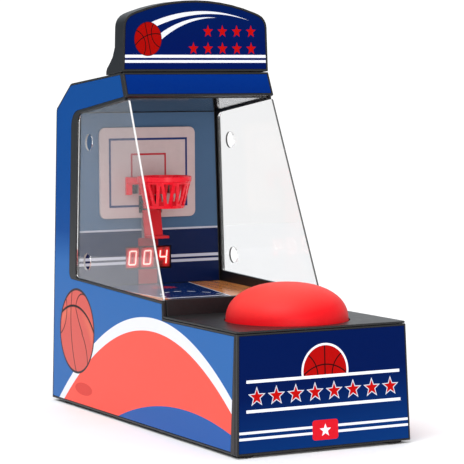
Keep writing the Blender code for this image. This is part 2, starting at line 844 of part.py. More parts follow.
def net_slots():
    """One cutter for the alternate upward and downward triangles around the net."""
    shape = bmesh.new()
    for i in range(2 * NET_SLOTS):
        angle = math.pi * i / NET_SLOTS
        if i % 2:
            wide, point = (0.0018, 0.1282), (0.0004, 0.1408)
        else:
            wide, point = (0.0026, 0.1419), (0.0004, 0.1296)
        ring = []
        corners = [(-wide[0], wide[1]), wide, point, (-point[0], point[1])]
        for radius in (0.0098, 0.0190):
            for across, height in corners:
                local = Vector((radius, across, height))
                local.rotate(Matrix.Rotation(angle, 3, "Z"))
                ring.append(shape.verts.new(local))
        near, far = ring[:4], ring[4:]
        shape.faces.new(near)
        shape.faces.new(far[::-1])
        for j in range(4):
            k = (j + 1) % 4
            shape.faces.new((near[k], near[j], far[j], far[k]))
    bmesh.ops.recalc_face_normals(shape, faces=shape.faces)
    return from_bmesh("net_slots", shape, Matrix.Translation((HOOP_X, behind(RIM_DEPTH), 0)), None)


def hoop():
    """Rim, slotted net and wall bracket, moulded in one piece."""
    place = (HOOP_X, behind(RIM_DEPTH), 0)
    rim_profile = [
        (RIM_RADIUS - 0.0004, RIM_TOP),
        (RIM_RADIUS, RIM_TOP - 0.0004),
        (RIM_RADIUS, RIM_BOTTOM + 0.0004),
        (RIM_RADIUS - 0.0004, RIM_BOTTOM),
        (RIM_RADIUS - 0.0020, RIM_BOTTOM),
        (RIM_RADIUS - 0.0020, RIM_TOP),
    ]
    rim = turned("hoop", rim_profile, place, RED, 48, closed=True)
    net_profile = [
        (RIM_RADIUS - 0.0005, RIM_BOTTOM + 0.0004),
        (NET_BOTTOM_RADIUS, NET_BOTTOM),
        (NET_BOTTOM_RADIUS - 0.0012, NET_BOTTOM),
        (RIM_RADIUS - 0.0017, RIM_BOTTOM + 0.0004),
    ]
    net = turned("net", net_profile, place, None, 40, closed=True)
    cut(net, net_slots())
    bracket_back = BOARD_FRONT - GAP
    bracket_front = bracket_back - 0.002
    shelf_outline = [
        (HOOP_X - 0.0145, behind(0.2060)),
        (HOOP_X + 0.0145, behind(0.2060)),
        (HOOP_X + BRACKET_HALF, behind(bracket_front + 0.001)),
        (HOOP_X - BRACKET_HALF, behind(bracket_front + 0.001)),
    ]
    shelf = plate("hoop_shelf", shelf_outline, Matrix.Identity(4), 0.1421, 0.1453, None)
    bore_ends = ((HOOP_X, behind(RIM_DEPTH), 0.13), (HOOP_X, behind(RIM_DEPTH), 0.16))
    cut(shelf, rod("hoop_bore", *bore_ends, RIM_RADIUS - 0.0012, None, 48))
    frame = facing_frame(bracket_back, 0)
    low, high = 0.1343, 0.1457
    bracket_outline = rectangle(HOOP_X - BRACKET_HALF, low, HOOP_X + BRACKET_HALF, high)
    bracket = plate("hoop_bracket", bracket_outline, frame, 0, 0.002, None)
    d, z = LEVER_PIVOT
    ears = []
    notches = []
    for side in (-1, 1):
        near, far = sorted((HOOP_X + side * NOTCH_INNER, HOOP_X + side * NOTCH_OUTER))
        notch_low = (near, behind(bracket_front - 0.001), low - 0.001)
        notch_high = (far, behind(bracket_back + 0.001), NOTCH_TOP)
        notches.append(box(f"bracket_notch_{side + 1}", notch_low, notch_high, None))
        near, far = sorted((HOOP_X + side * EAR_INNER, HOOP_X + side * EAR_OUTER))
        ear_ends = ((near, behind(0.2186), 0.1252), (far, behind(bracket_back - 0.0003), 0.1425))
        ears.append(box(f"lever_ear_{side + 1}", *ear_ends, None))
    cut(bracket, *notches)
    join(rim, net, shelf, bracket, *ears)
    pin_ends = ((HOOP_X - 0.013, behind(d), z), (HOOP_X + 0.013, behind(d), z))
    cut(rim, rod("lever_pin_bore", *pin_ends, PIN_BORE, None, 12))


def score_lever():
    """The tongue under the net that each scored ball pushes back, and its switch finger."""
    d, z = LEVER_PIVOT
    tongue_line = [(0.2200, 0.1243), (0.2192, 0.1180), (0.2172, 0.1080), (0.2079, 0.1080)]
    left, right = HOOP_X - TONGUE_HALF, HOOP_X + TONGUE_HALF
    tongue = plate("score_lever", strip(tongue_line, -0.0016), profile_frame(), left, right, RED)
    pivot_at(tongue, (HOOP_X, behind(d), z))
    pin_reach = EAR_OUTER - 0.0004
    pin_ends = ((HOOP_X - pin_reach, behind(d), z), (HOOP_X + pin_reach, behind(d), z))
    pins = rod("lever_pins", *pin_ends, PIN_RADIUS, None, 12)
    barrel_reach = EAR_INNER - GAP
    barrel_ends = ((HOOP_X - barrel_reach, behind(d), z), (HOOP_X + barrel_reach, behind(d), z))
    barrel = rod("lever_barrel", *barrel_ends, 0.0014, None, 16)
    neck_low = (HOOP_X - 0.0026, behind(0.2194), 0.1236)
    neck_high = (HOOP_X + 0.0026, behind(0.2209), z)
    neck = box("lever_neck", neck_low, neck_high, None)
    finger_low = (HOOP_X - 0.0015, behind(d), z - 0.0007)
    finger_high = (HOOP_X + 0.0015, behind(0.2310), z + 0.0007)
    finger = box("lever_finger", finger_low, finger_high, None)
    join(tongue, neck, barrel, finger, pins)


def score_display():
    """Three seven-segment digits on their circuit board, in the window of the back wall."""
    middle = (DISPLAY_BOTTOM + DISPLAY_TOP) / 2
    width, thickness, height = DIGIT_SIZE
    front = BACK_WALL + 0.0004
    for i, word in enumerate(("hundreds", "tens", "ones")):
        x = DISPLAY_X + (i - 1) * DIGIT_PITCH
        low = (x - width / 2, behind(front), middle - height / 2)
        high = (x + width / 2, behind(front + thickness), middle + height / 2)
        bevel(box(f"{word}_digit", low, high, DIGIT_RED), 0.0003, 1)
    board = rectangle(-0.026, DISPLAY_BOTTOM - 0.006, 0.026, DISPLAY_TOP + 0.006)
    board_frame = facing_frame(front + thickness + GAP, 0)
    plate("display_board", board, board_frame, -0.0016, 0, CHIP_BLACK)


def score_switch():
    """Small switch behind the wall, over the lever's finger."""
    z = LEVER_PIVOT[1]
    low = (HOOP_X - 0.0030, behind(0.2278), z + 0.0024)
    high = (HOOP_X + 0.0030, behind(0.2338), z + 0.0084)
    switch = box("score_switch", low, high, CHIP_BLACK)
    bevel(switch, 0.0004, 1)


# ---------------------------------------------------------------- button and launcher


def dome_height(radius):
    """Height of the dome's outer surface at a radius, on a superellipse."""
    return DECK_HEIGHT + DOME_HEIGHT * (1 - (radius / DOME_RADIUS) ** DOME_POWER) ** (1 / DOME_POWER)


def dome_point(share, radius, rise):
    """Point on a superellipse arc, from its top at share 0 to its foot at share 1."""
    angle = math.pi / 2 * share
    power = 2 / DOME_POWER
    return (radius * math.sin(angle) ** power, DECK_HEIGHT + rise * math.cos(angle) ** power)


def dome_button():
    """The dome with a skirt and flange under the deck, a guide stem and a push finger."""
    outer = [dome_point(i / 14, DOME_RADIUS, DOME_HEIGHT) for i in range(14)]
    flange_top = DECK_HEIGHT - DECK_SHEET - GAP
    flange_bottom = flange_top - 0.0016
    skirt_inner = DOME_RADIUS - DOME_WALL
    inner = [dome_point(i / 8, skirt_inner, DOME_HEIGHT - DOME_WALL) for i in range(7, 1, -1)]
    crown = dome_point(1 / 8, skirt_inner, DOME_HEIGHT - DOME_WALL)
    profile = [
        *outer,
        (DOME_RADIUS, DECK_HEIGHT),
        (DOME_RADIUS, flange_top),
        (FLANGE_RADIUS, flange_top),
        (FLANGE_RADIUS, flange_bottom),
        (skirt_inner, flange_bottom),
        (skirt_inner, DECK_HEIGHT),
        *inner,
        (0.0090, crown[1]),
        (0.0090, SHOULDER_HEIGHT),
        (STEM_RADIUS, SHOULDER_HEIGHT),
        (STEM_RADIUS, 0.0330),
        (0, 0.0330),
    ]
    place = (0, behind(BUTTON_DEPTH), 0)
    dome = turned("dome_button", profile, place, RED_SOFT, 56)
    finger = box(
        "push_finger",
        (-0.0025, behind(0.0575), 0.0526),
        (0.0025, behind(0.0625), dome_height(0.0190) - 0.0016),
        None,
    )
    join(dome, finger)


def button_guide():
    bore = STEM_RADIUS + 0.0004
    profile = [
        (0.0095, GUIDE_TOP),
        (0.0095, GUIDE_TOP - 0.002),
        (0.0062, GUIDE_TOP - 0.002),
        (0.0062, 0.0080),
        (0.0110, 0.0060),
        (0.0110, 0.0041),
        (bore, 0.0041),
        (bore, GUIDE_TOP),
    ]
    turned("button_guide", profile, (0, behind(BUTTON_DEPTH), 0), WHITE, 24, closed=True)


def button_spring():
    wire_radius = 0.00045
    low = GUIDE_TOP + GAP + wire_radius
    high = SHOULDER_HEIGHT - GAP - wire_radius
    centre = (0, behind(BUTTON_DEPTH), low)
    coil("button_spring", centre, high - low, 0.0068, 5.5, wire_radius, STEEL)


def launch_lever():
    """Lever under the deck: its front end is pushed down, its rear end kicks the ball up."""
    d, z = PIVOT_DEPTH, PIVOT_HEIGHT
    outline = [
        (0.0560, z - 0.0016),
        (0.0820, z - 0.0040),
        (0.0880, z - 0.0040),
        (0.1050, z - 0.0085),
        (0.1215, z - 0.0085),
        (0.1215, z + 0.0062),
        (0.1165, z + 0.0062),
        (0.1165, z - 0.0045),
        (0.1055, z - 0.0045),
        (0.0885, z + 0.0036),
        (0.0815, z + 0.0036),
        (0.0640, z + 0.0022),
        (0.0560, z + 0.0022),
    ]
    eye = circle((d, z), AXLE_RADIUS + 0.0003, 20)
    lever = plate("launch_lever", outline, profile_frame(), -0.003, 0.003, WHITE, [eye])
    bevel(lever, 0.0004, 1)
    pivot_at(lever, (0, behind(d), z))
    axle_ends = ((-0.0085, behind(d), z), (0.0085, behind(d), z))
    rod("launch_axle", *axle_ends, AXLE_RADIUS, STEEL, 20)


def lever_stand():
    """Fork on the base that carries the launcher's axle."""
    d, z = PIVOT_DEPTH, PIVOT_HEIGHT
    eye = circle((d, z), AXLE_RADIUS + 0.0003, 20)
    foot_corners = [(d - 0.008, 0.0041), (d + 0.008, 0.0041)]
    head_corners = [(d + 0.0038, z + 0.0038), (d - 0.0038, z + 0.0038)]
    outline = rounded(foot_corners + head_corners, [0, 0, 0.003, 0.003])
    frame = profile_frame()
    stand = plate("lever_stand", outline, frame, -0.0064, -0.0034, BLACK, [eye])
    right_ear = plate("lever_stand_right", outline, frame, 0.0034, 0.0064, None, [eye])
    foot_low = (-0.0060, behind(d - 0.0075), 0.0043)
    foot_high = (0.0060, behind(d + 0.0075), 0.0070)
    foot = box("lever_stand_foot", foot_low, foot_high, None)
    join(stand, foot, right_ear)


# ---------------------------------------------------------------- rear cover and electrics


def bay_outline(shrink):
    left, right = -BAY_HALF + shrink, BAY_HALF - shrink
    bottom, top = BAY_BOTTOM + shrink, BAY_TOP - shrink
    tab, tab_top = TAB_HALF - shrink, TAB_TOP - shrink
    return [
        (left, bottom),
        (right, bottom),
        (right, top),
        (tab, top),
        (tab, tab_top),
        (-tab, tab_top),
        (-tab, top),
        (left, top),
    ]


def slot(centre, length, width):
    left, right = centre[0] - length / 2, centre[0] + length / 2
    outline = rectangle(left, centre[1] - width / 2, right, centre[1] + width / 2)
    return rounded(outline, [0.0007] * 4, 2)


def rear_cover():
    bottom = FOOT_HEIGHT
    top = 0.1866
    outline = [
        (-inner_half(bottom), bottom),
        (inner_half(bottom), bottom),
        (inner_half(top), top),
        (-inner_half(top), top),
    ]
    grille = [slot((0, GRILLE_CENTRE + 0.0045 * i), 0.024, 0.0020) for i in range(-2, 3)]
    screw_holes = [circle(place, 0.0017, 16) for place in REAR_SCREWS]
    switch_slot = slot(SWITCH_PLACE, 0.0100, 0.0046)
    holes = [bay_outline(0), switch_slot, *grille, *screw_holes]
    frame = facing_frame(DEPTH, 0)
    cover = plate("rear_cover", outline, frame, 0, WALL, BLACK, holes)
    for i, (x, z) in enumerate(REAR_SCREWS):
        recess_ends = ((x, behind(DEPTH - 0.0013), z), (x, behind(DEPTH + 0.001), z))
        cut(cover, rod(f"screw_recess_{i}", *recess_ends, 0.0031, None, 20))


def pan_screw(name, place, out):
    """A screw whose head's outer face is at a place, its shank running inwards."""
    profile = [
        (0, 0),
        (0.0023, 0),
        (0.0027, -0.0003),
        (0.0027, -0.0009),
        (0.0013, -0.0009),
        (0.0013, -0.0080),
        (0, -0.0080),
    ]
    screw = turned(name, profile, (0, 0, 0), NICKEL, 20)
    aim = Vector(out).to_track_quat("Z", "Y").to_matrix().to_4x4()
    screw.matrix_world = Matrix.Translation(place) @ aim
    for i, size in enumerate(((0.0030, 0.0006), (0.0006, 0.0030))):
        low = (-size[0] / 2, -size[1] / 2, -0.0005)
        high = (size[0] / 2, size[1] / 2, 0.001)
        groove = box(f"{name}_groove_{i}", low, high, None)
        groove.matrix_world = screw.matrix_world @ groove.matrix_world
        cut(screw, groove)


def screws():
    for i, (x, z) in enumerate(REAR_SCREWS):
        pan_screw(f"rear_screw_{i + 1}", (x, behind(DEPTH - 0.0001), z), (0, 1, 0))


def battery_door():
    """Door that drops open about its lower edge, with a snap tab and finger grooves on top."""
    frame = facing_frame(DEPTH - 0.0001, 0)
    door = plate("battery_door", bay_outline(GAP), frame, 0, 0.0021, BLACK)
    pivot_at(door, (0, behind(DEPTH - 0.0001), BAY_BOTTOM + GAP))
    grooves = []
    for i in range(3):
        height = 0.0400 + 0.0022 * i
        low = (-0.0070, behind(DEPTH - 0.0006), height)
        high = (0.0070, behind(DEPTH + 0.001), height + 0.0010)
        grooves.append(box(f"door_groove_{i}", low, high, None))
    cut(door, *grooves)


def battery_tray():
    """Open box behind the battery door."""
    front = 0.2365
    rear = DEPTH - WALL - GAP
    tray = box("battery_tray", (-0.027, behind(front), 0.010), (0.027, behind(rear), 0.050), BLACK)
    inside_low = (-0.0252, behind(front + 0.0018), 0.0118)
    inside_high = (0.0252, behind(DEPTH), 0.0482)
    cut(tray, box("tray_inside", inside_low, inside_high, None))


def cells():
    """Three cells one above another between two sprung contact strips."""
    half = 0.0218
    for i, height in enumerate(CELL_HEIGHTS):
        flip = -1 if i % 2 else 1
        profile = [
            (0, half),
            (0.0018, half),
            (0.0018, half - 0.0010),
            (CELL_RADIUS - 0.0005, half - 0.0010),
            (CELL_RADIUS, half - 0.0016),
            (CELL_RADIUS, -half + 0.0006),
            (CELL_RADIUS - 0.0005, -half),
            (0, -half),
        ]
        cell = turned(f"battery_{i + 1}", profile, (0, 0, 0), CELL_WRAP, 20)
        aim = Vector((flip, 0, 0)).to_track_quat("Z", "Y").to_matrix().to_4x4()
        cell.matrix_world = Matrix.Translation((0, behind(CELL_DEPTH), height)) @ aim
    for side, word in ((-1, "left"), (1, "right")):
        outer, inner = side * 0.0249, side * 0.0244
        ends = sorted((outer, inner))
        low = (ends[0], behind(CELL_DEPTH - 0.0040), CELL_HEIGHTS[0] - 0.0040)
        high = (ends[1], behind(CELL_DEPTH + 0.0040), CELL_HEIGHTS[2] + 0.0040)
        strip_plate = box(f"{word}_battery_contact", low, high, NICKEL)
        for i, height in enumerate(CELL_HEIGHTS):
            tip = (side * 0.0222, behind(CELL_DEPTH), height)
            root = (side * 0.0246, tip[1], height)
            join(strip_plate, rod(f"{word}_contact_bump_{i}", root, tip, 0.0020, None, 12))


def power_switch():
    """Slide switch through the rear cover, and its body inside."""
    x, z = SWITCH_PLACE
    inner = DEPTH - WALL - GAP
    off = x - 0.0015
    knob = box(
        "power_switch_knob",
        (off - 0.0030, behind(inner), z - 0.0017),
        (off + 0.0030, behind(DEPTH - 0.0002), z + 0.0017),
        WHITE,
    )
    grooves = []
    for i in range(-1, 2):
        low = (off + 0.0016 * i - 0.0003, behind(DEPTH - 0.0006), z - 0.003)
        high = (off + 0.0016 * i + 0.0003, behind(DEPTH + 0.001), z + 0.003)
        grooves.append(box(f"knob_groove_{i + 1}", low, high, None))
    cut(knob, *grooves)
    body_low = (x - 0.0080, behind(inner - GAP - 0.0060), z - 0.0040)
    body_high = (x + 0.0080, behind(inner - GAP), z + 0.0040)
    box("power_switch_body", body_low, body_high, NICKEL)


def speaker():
    front = DEPTH - WALL - 2 * GAP
    profile = [
        (0, 0),
        (0.0135, 0),
        (0.0140, -0.0006),
        (0.0140, -0.0030),
        (0.0080, -0.0060),
        (0.0080, -0.0085),
        (0, -0.0085),
    ]
    cone = turned("speaker", profile, (0, 0, 0), CHIP_BLACK, 32)
    aim = Vector((0, 1, 0)).to_track_quat("Z", "Y").to_matrix().to_4x4()
    cone.matrix_world = Matrix.Translation((0, behind(front), GRILLE_CENTRE)) @ aim


def main_board():
    bottom = 0.0120
    outline = rectangle(-0.035, behind(0.150), 0.035, behind(0.205))
    top = bottom + 0.0016
    board = plate("main_board", outline, Matrix.Identity(4), bottom, top, BOARD_GREEN)
    sunk = top - 0.0005
    chip_ends = ((-0.0060, behind(0.170), sunk), (0.0060, behind(0.182), top + 0.0016))
    header_ends = ((-0.0230, behind(0.199), sunk), (-0.0090, behind(0.204), top + 0.0050))
    join(board, box("sound_chip", *chip_ends, None), box("lead_header", *header_ends, None))


def smooth_route(points, count):
    """Points along a smooth line through a few route points."""
    route = [Vector(p) for p in points]
    padded = [2 * route[0] - route[1], *route, 2 * route[-1] - route[-2]]
    line = []
    for i in range(count + 1):
        place = min(i / count * (len(route) - 1), len(route) - 1 - 1e-9)
        k = int(place)
        t = place - k
        a, b, c, d = padded[k : k + 4]
        bend = (2 * a - 5 * b + 4 * c - d) * t * t + (3 * b - a - 3 * c + d) * t**3
        line.append((2 * b + (c - a) * t + bend) / 2)
    return line


def wires():
    """The two leads from the circuit board to the battery tray."""
    red_route = [(-0.020, 0.2052, 0.016), (-0.020, 0.2150, 0.019), (-0.017, 0.2360, 0.024)]
    black_route = [(-0.012, 0.2052, 0.016), (-0.012, 0.2150, 0.021), (-0.012, 0.2360, 0.030)]
    for word, look, route in (("red", WIRE_RED, red_route), ("black", WIRE_BLACK, black_route)):
        points = [(x, behind(d), z) for x, d, z in route]
        wire(f"battery_lead_{word}", smooth_route(points, 16), 0.0006, look, 1)


for side, word in ((-1, "left"), (1, "right")):
    side_wall(side, word)
    window(side, word)
front_panel()
top_deck()
base_plate()
feet()
roof()
ceiling()
fascia()
sign()
front_lip()
playing_floor()
ball_well()
ball()
back_wall()
backboard()
hoop()
score_lever()
score_display()
score_switch()
dome_button()
button_guide()
button_spring()
launch_lever()
lever_stand()
rear_cover()
screws()
battery_door()
battery_tray()
cells()
power_switch()
speaker()
main_board()
wires()
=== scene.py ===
"""Looks, light and camera for the desktop basketball arcade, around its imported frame.

Prints are drawn by distance fields in the case's own coordinates. A case width is 112 mm.
"""

import math

import bpy
from mathutils import Matrix, Vector

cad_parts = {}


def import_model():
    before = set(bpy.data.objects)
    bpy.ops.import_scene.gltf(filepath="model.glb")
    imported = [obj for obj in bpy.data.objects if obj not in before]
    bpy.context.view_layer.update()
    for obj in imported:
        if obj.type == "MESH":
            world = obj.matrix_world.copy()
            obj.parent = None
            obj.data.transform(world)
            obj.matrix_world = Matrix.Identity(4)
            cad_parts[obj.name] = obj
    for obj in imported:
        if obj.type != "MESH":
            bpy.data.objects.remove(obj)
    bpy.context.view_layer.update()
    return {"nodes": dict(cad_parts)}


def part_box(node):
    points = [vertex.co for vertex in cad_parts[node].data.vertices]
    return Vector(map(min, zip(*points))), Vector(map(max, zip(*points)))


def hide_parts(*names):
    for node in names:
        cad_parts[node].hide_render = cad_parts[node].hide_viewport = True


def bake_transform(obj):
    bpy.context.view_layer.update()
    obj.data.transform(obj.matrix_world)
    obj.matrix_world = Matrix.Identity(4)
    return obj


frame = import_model()
NODES = frame["nodes"]

# The case in metres. TAPER is how much it narrows for each metre of height.
WIDTH = 0.112
DEPTH = 0.2573
FOOT_HEIGHT = 0.0018
TAPER = 0.05405
# How soft a printed edge is, in case widths and in millimetres.
SOFT_EDGE = 0.0006
SOFT_MM = 0.1
# A star's inner corners, in outer radii.
STAR_WAIST = 0.42
# The Mix node's sockets for colour.
MIX_FACTOR, MIX_FIRST, MIX_SECOND, MIX_RESULT = 0, 6, 7, 2


def linear(hex_colour):
    """Scene-linear colour of an sRGB hex string. Any other value is linear already."""
    if not isinstance(hex_colour, str):
        return hex_colour
    parts = [int(hex_colour[i : i + 2], 16) / 255 for i in (1, 3, 5)]
    return tuple(p / 12.92 if p <= 0.04045 else ((p + 0.055) / 1.055) ** 2.4 for p in parts)


# ---------------------------------------------------------------- fields


class Field:
    """A number that varies over a surface, worked out by Math nodes."""

    def __init__(self, tree, socket):
        self.tree = tree
        self.socket = socket

    def math(self, operation, *others, clamp=False):
        """The result of a Math node on this field and others, which may be plain numbers."""
        node = self.tree.nodes.new("ShaderNodeMath")
        node.operation = operation
        node.use_clamp = clamp
        self.tree.links.new(self.socket, node.inputs[0])
        for place, other in zip(node.inputs[1:], others):
            if isinstance(other, Field):
                self.tree.links.new(other.socket, place)
            else:
                place.default_value = other
        return Field(self.tree, node.outputs[0])

    def __add__(self, other):
        return self.math("ADD", other)

    def __sub__(self, other):
        return self.math("SUBTRACT", other)

    def __rsub__(self, other):
        return self.math("MULTIPLY_ADD", -1.0, other)

    def __mul__(self, other):
        return self.math("MULTIPLY", other)

    def __truediv__(self, other):
        return self.math("DIVIDE", other)

    def __abs__(self):
        return self.math("ABSOLUTE")

    def high(self, other):
        """The higher of two. For signed distances, that is where both shapes overlap."""
        return self.math("MAXIMUM", other)

    def low(self, other):
        """The lower of two. For signed distances, that is both shapes together."""
        return self.math("MINIMUM", other)

    def ramp(self, start, end):
        """0 at start and below, 1 at end and beyond."""
        share = 1.0 / (end - start)
        return self.math("MULTIPLY_ADD", share, -start * share, clamp=True)


def inside(distance, soft=SOFT_EDGE):
    """1 where a signed distance is negative, with a thin soft edge."""
    return distance.math("MULTIPLY_ADD", -1.0 / soft, 0.5, clamp=True)


def length(a, b):
    """Distance from the origin."""
    return (a * a + b * b).math("SQRT")


def disc(x, y, centre, radius):
    """Distance to a disc."""
    return length(x - centre[0], y - centre[1]) - radius


def outline(distance, width):
    """Distance to a line along a shape's edge."""
    return abs(distance) - width / 2


def band(value, low, high):
    """Distance to a stretch of values."""
    return abs(value - (low + high) / 2) - (high - low) / 2


def block(x, y, left, bottom, right, top, corner=0.0):
    """Distance to a rectangle, with round corners if asked."""
    dx = band(x, left + corner, right - corner)
    dy = band(y, bottom + corner, top - corner)
    if corner:
        return length(dx.high(0.0), dy.high(0.0)) - corner
    return dx.high(dy)


def star(x, y, radius):
    """Distance to a five-pointed star round the origin, one tip up."""
    reach = length(x, y)
    fold = x.math("ARCTAN2", y).math("PINGPONG", math.pi / 5)
    tip_x = radius * STAR_WAIST * math.cos(math.pi / 5) - radius
    tip_y = radius * STAR_WAIST * math.sin(math.pi / 5)
    size = math.hypot(tip_x, tip_y)
    across = reach * fold.math("COSINE") - radius
    up = reach * fold.math("SINE")
    return across * (tip_y / size) + up * (-tip_x / size)


def arch(y, z, crown, top, fall):
    """Height above a parabola whose crown is at a depth and a height."""
    return z - (top - (y - crown) * (y - crown) * fall)


def turn(x, y, degrees):
    """The coordinates in axes turned anticlockwise."""
    c, s = math.cos(math.radians(degrees)), math.sin(math.radians(degrees))
    return x * c + y * s, y * c - x * s


def star_row(x, y, middle, count, pitch, radius):
    """Distance to a row of stars centred on a point."""
    along = x - middle[0]
    half = count * pitch / 2
    shift = 0.0 if count % 2 else pitch / 2
    repeated = (along + shift).math("WRAP", pitch / 2, -pitch / 2)
    return star(repeated, y - middle[1], radius).high(abs(along) - half)


# ---------------------------------------------------------------- looks


def mixed(tree, factor, first, second):
    """A colour that goes from the first to the second as the factor goes from 0 to 1."""
    mix = tree.nodes.new("ShaderNodeMix")
    mix.data_type = "RGBA"
    tree.links.new(factor.socket, mix.inputs[MIX_FACTOR])
    for place, value in ((MIX_FIRST, first), (MIX_SECOND, second)):
        if isinstance(value, tuple):
            mix.inputs[place].default_value = (*value, 1.0)
        else:
            tree.links.new(value, mix.inputs[place])
    return mix.outputs[MIX_RESULT]


def mixed_shader(tree, factor, first, second):
    mix = tree.nodes.new("ShaderNodeMixShader")
    for place, socket in zip(mix.inputs, (factor, first, second)):
        tree.links.new(socket, place)
    return mix.outputs[0]


class Look:
    """A procedural material: colour painted in layers, with grain, over a Principled shader."""

    def __init__(self, name, colour, roughness=0.4, metallic=0.0, specular=0.5):
        self.material = bpy.data.materials.new(name)
        self.material.use_nodes = True
        self.tree = self.material.node_tree
        self.shader = self.tree.nodes["Principled BSDF"]
        self.set("Metallic", metallic)
        self.set("Specular IOR Level", specular)
        self.set("Roughness", roughness)
        self.points = self.node("TexCoord").outputs["Object"]
        split = self.node("SeparateXYZ")
        self.link(self.points, split.inputs[0])
        self.x, self.y, self.z = (Field(self.tree, out) for out in split.outputs)
        self.colour = linear(colour)
        self.ink = None
        self.normal = None
        self.roughness = roughness

    def node(self, kind):
        return self.tree.nodes.new("ShaderNode" + kind)

    def link(self, start, end):
        self.tree.links.new(start, end)

    def set(self, name, value):
        self.shader.inputs[name].default_value = value

    def noise(self, scale, detail=2.0, stretch=(1, 1, 1)):
        """Noise from 0 to 1 with a number of features to the metre."""
        texture = self.node("TexNoise")
        texture.inputs["Scale"].default_value = scale
        texture.inputs["Detail"].default_value = detail
        mapping = self.node("Mapping")
        mapping.inputs["Scale"].default_value = stretch
        self.link(self.points, mapping.inputs["Vector"])
        self.link(mapping.outputs[0], texture.inputs["Vector"])
        return Field(self.tree, texture.outputs["Fac"])

    def mottle(self, scale, amount, stretch=(1, 1, 1)):
        """Starts the colour with slight unevenness. Every look calls this before it paints."""
        dark = tuple(c * (1 - amount) for c in self.colour)
        light = tuple(min(1.0, c * (1 + amount)) for c in self.colour)
        cloud = self.noise(scale, 3.0, stretch).ramp(0.3, 0.7)
        self.ink = mixed(self.tree, cloud, dark, light)

    def paint(self, mask, colour):
        """Lays a colour over what is there, where the mask is 1."""
        self.ink = mixed(self.tree, mask, self.ink, linear(colour))

    def print_in(self, distance, colour, soft=SOFT_EDGE):
        """Lays a colour inside a shape given by its signed distance."""
        self.paint(inside(distance, soft), colour)

    def bump(self, height, distance, strength=1.0):
        """Raises the surface in shading by a distance in metres, on top of earlier bumps."""
        node = self.node("Bump")
        node.inputs["Distance"].default_value = distance
        node.inputs["Strength"].default_value = strength
        self.link(height.socket, node.inputs["Height"])
        if self.normal:
            self.link(self.normal, node.inputs["Normal"])
        self.normal = node.outputs[0]

    def rough(self, field, spread):
        """Roughness that varies by a spread each way."""
        value = field.math("MULTIPLY_ADD", 2 * spread, self.roughness - spread, clamp=True)
        self.link(value.socket, self.shader.inputs["Roughness"])

    def rounded(self, radius):
        """Shading that rounds small edges. It also returns how near an edge a point is."""
        bevel = self.node("Bevel")
        bevel.samples = 4
        bevel.inputs["Radius"].default_value = radius
        self.normal = bevel.outputs[0]
        face = self.node("NewGeometry").outputs["Normal"]
        dot = self.node("VectorMath")
        dot.operation = "DOT_PRODUCT"
        self.link(bevel.outputs[0], dot.inputs[0])
        self.link(face, dot.inputs[1])
        return Field(self.tree, dot.outputs["Value"]).ramp(0.995, 0.80)

    def case_widths(self):
        """(across, behind the front, up) in case widths, across as if the case didn't narrow."""
        height = (self.z - FOOT_HEIGHT) / WIDTH
        across = self.x / height.math("MULTIPLY_ADD", -TAPER * WIDTH, WIDTH)
        return across, (self.y + DEPTH / 2) / WIDTH, height

    def millimetres(self):
        """(across, behind the front, up) in millimetres."""
        return self.x * 1000, (self.y + DEPTH / 2) * 1000, self.z * 1000

    def done(self):
        """The material, once its colour and its normal are joined to the shader."""
        self.link(self.ink, self.shader.inputs["Base Color"])
        if self.normal:
            self.link(self.normal, self.shader.inputs["Normal"])
        return self.material


def wear(look, *nodes):
    """Gives CAD nodes a look."""
    material = look.done()
    for name in nodes:
        for place in NODES[name].material_slots:
            place.material = material


def film(name, colour, roughness, specular):
    """A printed film: fine ink mottling under a faintly uneven glossy face."""
    look = Look(name, colour, roughness, specular=specular)
    look.mottle(1400, 0.035)
    look.bump(look.noise(45, 2.0), 0.00006, 0.5)
    look.rough(look.noise(160, 4.0), 0.05)
    return look


# ---------------------------------------------------------------- prints

# Lengths in the prints are in case widths, or in millimetres where look.millimetres() is
# called. Lengths in a drawn ball's seams are in that ball's radii.
WHITE_INK = "#e6e8f0"
RED_INK = "#a60807"
STAR_INK = "#b40b09"
CORAL_INK = "#f4584b"
SEAM_INK = "#14080a"


def seams(look, u, v, width, arcs, where):
    """Seams of a drawn ball: arcs as (centre, radius), in ball radii, inside a mask."""
    for centre, radius in arcs:
        line = outline(disc(u, v, centre, radius), width)
        look.paint(inside(line, 0.02) * where, SEAM_INK)


